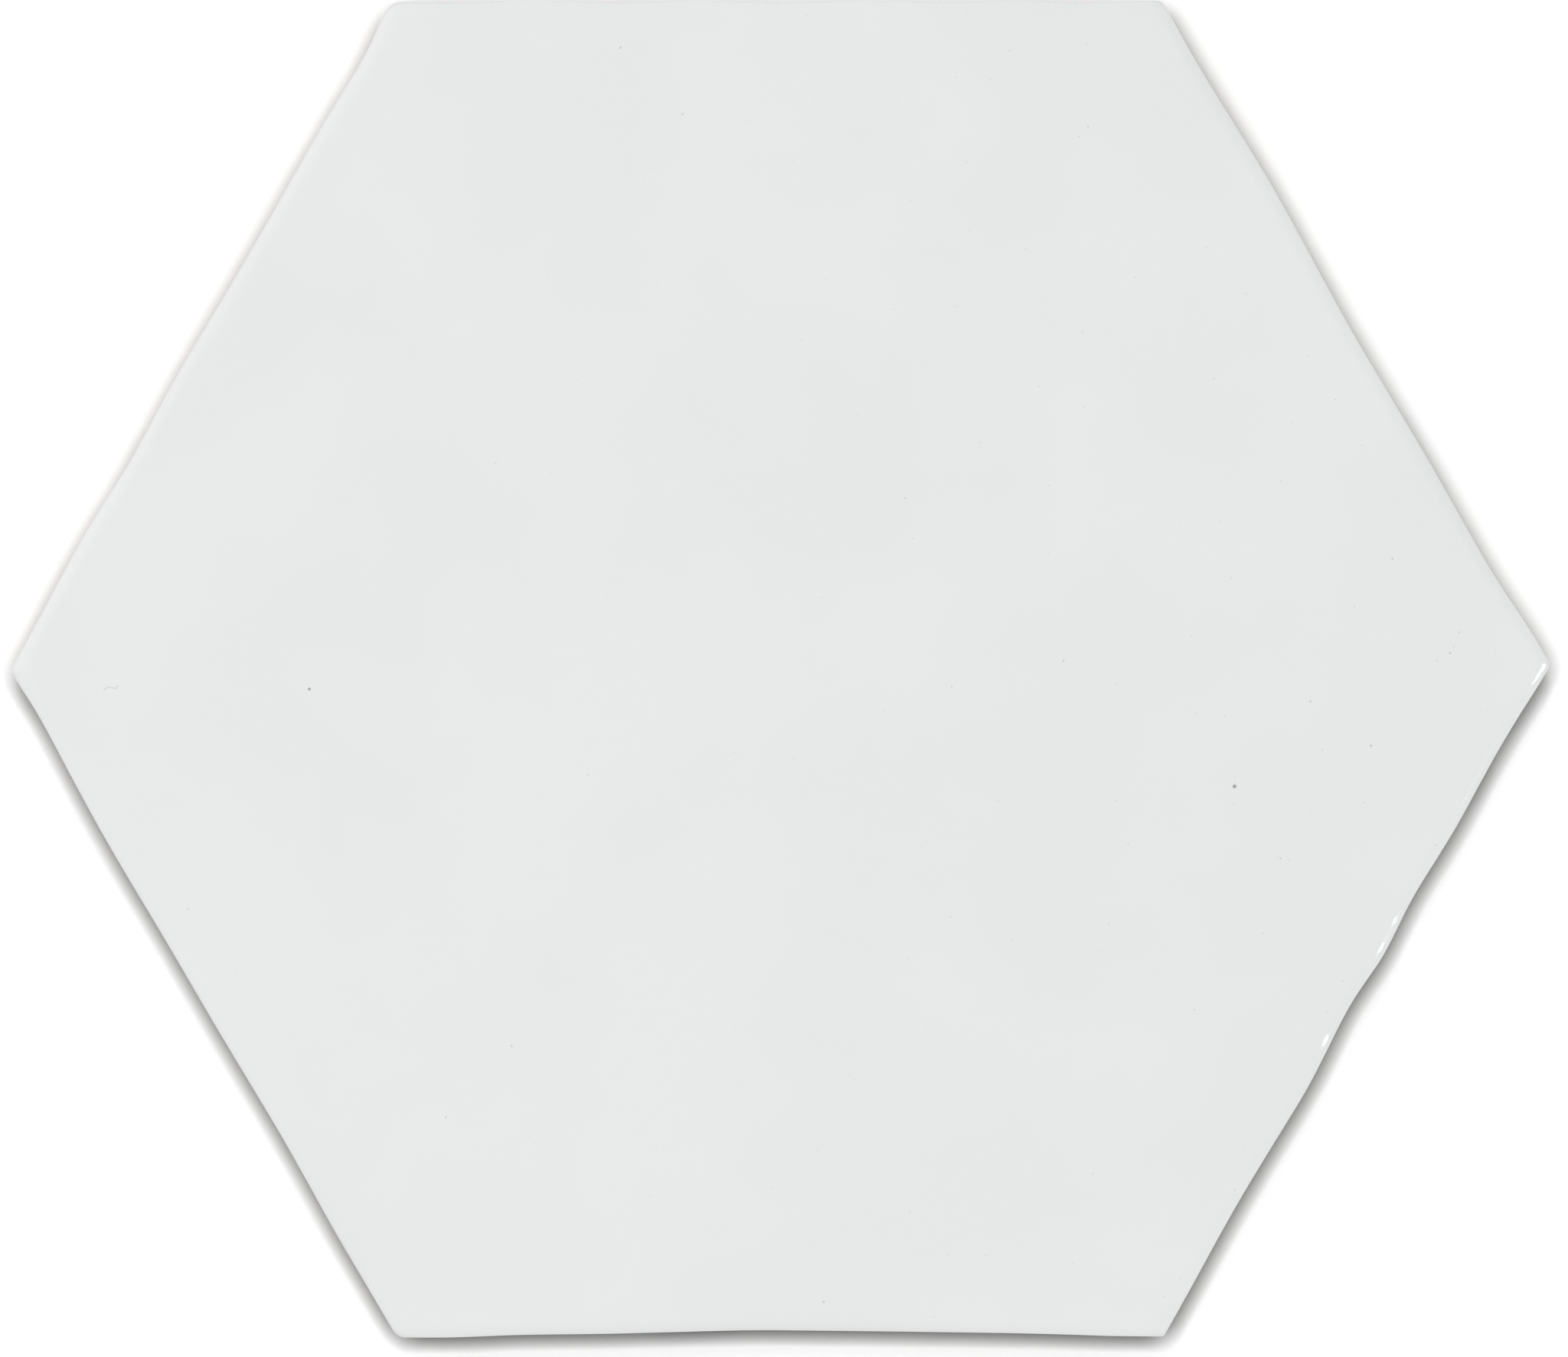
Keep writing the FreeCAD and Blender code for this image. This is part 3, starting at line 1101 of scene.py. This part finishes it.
def contact_shade(tree):
    """How light the floor looks: 1 in the open, and less the more the tile hides."""
    lean = towards(KEY_FROM, KEY_RISE)
    normal = add(tree, "ShaderNodeCombineXYZ", {"X": lean.x, "Y": lean.y, "Z": lean.z})
    feed = {"Distance": CONTACT_REACH, "Normal": normal}
    open_share = add(tree, "ShaderNodeAmbientOcclusion", feed, output="AO")
    return maths(tree, "MULTIPLY", open_share, open_share)


def floor_material():
    """White that takes shadow, plain white in reflections, and clear from below."""
    material = bpy.data.materials.new("studio_floor")
    material.use_nodes = True
    tree = material.node_tree
    tree.nodes.clear()
    rays = tree.nodes.new("ShaderNodeLightPath").outputs
    shade = contact_shade(tree)
    matt = add(tree, "ShaderNodeBsdfDiffuse", {"Color": maths(tree, "MULTIPLY", shade, FLOOR_WHITE)})
    lift = maths(tree, "MULTIPLY", maths(tree, "MULTIPLY", shade, rays["Is Camera Ray"]), FLOOR_LIFT)
    glow = add(tree, "ShaderNodeEmission", {"Color": (*LIFT_COLOUR, 1), "Strength": lift})
    seen = add(tree, "ShaderNodeAddShader", {0: matt, 1: glow})
    plain = add(tree, "ShaderNodeEmission", {"Strength": shade})
    mirrored = maths(tree, "MAXIMUM", rays["Is Glossy Ray"], rays["Is Transmission Ray"])
    upper = add(tree, "ShaderNodeMixShader", {0: mirrored, 1: seen, 2: plain})
    clear = add(tree, "ShaderNodeBsdfTransparent")
    behind = add(tree, "ShaderNodeNewGeometry", output="Backfacing")
    surface = add(tree, "ShaderNodeMixShader", {0: behind, 1: upper, 2: clear})
    tree.links.new(surface, tree.nodes.new("ShaderNodeOutputMaterial").inputs["Surface"])
    return material


def floor_shape():
    """A wide hexagon with a hole a little smaller than the tile's foot: its points and faces."""
    reach = (HALF_WIDTH - FLOOR_INSET) / math.cos(CELL_TURN)
    points = []
    for spread in (FLOOR_SPREAD, 1):
        for side in range(SIDES):
            turn = side * CORNER_TURN
            x, y = NOMINAL_MIDDLE + np.array([math.cos(turn), math.sin(turn)]) * reach * spread
            points.append((x, y, -FLOOR_DROP))
    faces = []
    for side in range(SIDES):
        ahead = (side + 1) % SIDES
        faces.append((side, ahead, SIDES + ahead, SIDES + side))
    return points, faces


floor_points, floor_faces = floor_shape()
floor_mesh = bpy.data.meshes.new("studio_floor")
floor_mesh.from_pydata(floor_points, [], floor_faces)
floor_mesh.materials.append(floor_material())
floor = bpy.data.objects.new("studio_floor", floor_mesh)
bpy.context.scene.collection.objects.link(floor)
print("floor", round(2 * max(x for x, y, z in floor_points), 1), "m wide")

# %% [markdown]
# ## Light
# The photograph's light is a tent: it comes evenly from the whole sky, so that even the rounded
# rim keeps its white. A weak broad key at the top of the picture gives the shade its direction. It
# is a sun, whose light doesn't fall off, and reflections don't see it. A weak lamp at the left
# makes that side a little brighter. A weak one low at the lower right fills the slope of the rim
# that turns away from the key. A last one, low at the right, is seen in reflections alone, and
# puts the few short glints on the rim.

# %% World and lamps
SKY_LEVEL = 0.782
KEY_LEVEL = 0.12
KEY_SPREAD = 12
SIDE_LEVEL = 0.08
SIDE_COLOUR = (1.0, 0.94, 0.975)
SIDE_FROM, SIDE_RISE = 172, 35
FILL_LEVEL = 0.03
FILL_FROM, FILL_RISE = -45, 12
PANEL_AWAY, PANEL_SIZE = 0.9, 0.5
GLINT_FROM, GLINT_RISE, GLINT_AWAY = -11, 13, 2.0
GLINT_WIDTH, GLINT_HEIGHT, GLINT_POWER = 0.92, 0.85, 32.0


def lamp(name, kind, azimuth, elevation, away):
    """A lamp that points at the tile."""
    thing = bpy.data.objects.new(name, bpy.data.lights.new(name, kind))
    direction = towards(azimuth, elevation)
    thing.location = direction * away
    thing.rotation_euler = direction.to_track_quat("Z", "Y").to_euler()
    bpy.context.scene.collection.objects.link(thing)
    return thing


def panel(name, azimuth, elevation, away, width, height, power):
    """An oblong lamp of this size and power."""
    thing = lamp(name, "AREA", azimuth, elevation, away)
    thing.data.shape = "RECTANGLE"
    thing.data.size = width
    thing.data.size_y = height
    thing.data.energy = power
    return thing


def soft_panel(name, azimuth, elevation, level):
    """A square lamp that adds this level to the face and that reflections don't see."""
    power = level * (math.pi * PANEL_AWAY) ** 2 / math.sin(math.radians(elevation))
    thing = panel(name, azimuth, elevation, PANEL_AWAY, PANEL_SIZE, PANEL_SIZE, power)
    thing.visible_glossy = False
    return thing


def light_sky():
    """A sky that is white to look at and gives a plain level of light."""
    world = bpy.data.worlds.new("studio_sky")
    world.use_nodes = True
    tree = world.node_tree
    rays = tree.nodes.new("ShaderNodeLightPath").outputs
    looked_at = maths(tree, "MAXIMUM", rays["Is Camera Ray"], rays["Is Glossy Ray"])
    looked_at = maths(tree, "MAXIMUM", looked_at, rays["Is Transmission Ray"])
    background = tree.nodes["Background"]
    background.inputs["Color"].default_value = (1, 1, 1, 1)
    tree.links.new(stretch(tree, looked_at, 0, 1, SKY_LEVEL, 1), background.inputs["Strength"])
    bpy.context.scene.world = world


light_sky()
key = lamp("key", "SUN", KEY_FROM, KEY_RISE, 1.0)
key.data.energy = math.pi * KEY_LEVEL / math.sin(math.radians(KEY_RISE))
key.data.angle = math.radians(KEY_SPREAD)
key.visible_glossy = False
side = soft_panel("side", SIDE_FROM, SIDE_RISE, SIDE_LEVEL)
side.data.color = SIDE_COLOUR
soft_panel("fill", FILL_FROM, FILL_RISE, FILL_LEVEL)
glint = panel("glint", GLINT_FROM, GLINT_RISE, GLINT_AWAY, GLINT_WIDTH, GLINT_HEIGHT, GLINT_POWER)
glint.visible_diffuse = False
light_level = SKY_LEVEL + KEY_LEVEL + SIDE_LEVEL + FILL_LEVEL
print("light on the tile:", round(light_level, 2), "of the plain level")

# %% [markdown]
# ## Camera
# The camera looks straight down from far away with a long lens, so that the walls don't show. It
# frames the same field as the photograph, at its scale of ten pixels to the millimetre, and its
# centre lies a little beside the tile's middle.

# %% Camera
PHOTO_WIDTH, PHOTO_HEIGHT = 2048, 1773
PHOTO_SCALE = 10 / MM
MIDDLE_IN_PHOTO = (1016.8, 871.3)
LENS = 300.0
SENSOR = 36.0

camera = bpy.data.objects.new("camera", bpy.data.cameras.new("camera"))
camera.data.lens = LENS
camera.data.sensor_width = SENSOR
field_width = PHOTO_WIDTH / PHOTO_SCALE
right = (PHOTO_WIDTH / 2 - MIDDLE_IN_PHOTO[0]) / PHOTO_SCALE
up = (MIDDLE_IN_PHOTO[1] - PHOTO_HEIGHT / 2) / PHOTO_SCALE
away = field_width * LENS / SENSOR
camera.location = (NOMINAL_MIDDLE[0] + right, NOMINAL_MIDDLE[1] + up, SHOULDER_HEIGHT + away)
camera.data.clip_end = 2 * away
bpy.context.scene.collection.objects.link(camera)
bpy.context.scene.camera = camera
bpy.context.scene.view_settings.view_transform = "Standard"
print("camera", mm(away), "mm above the shoulder, field", mm(field_width), "mm wide")
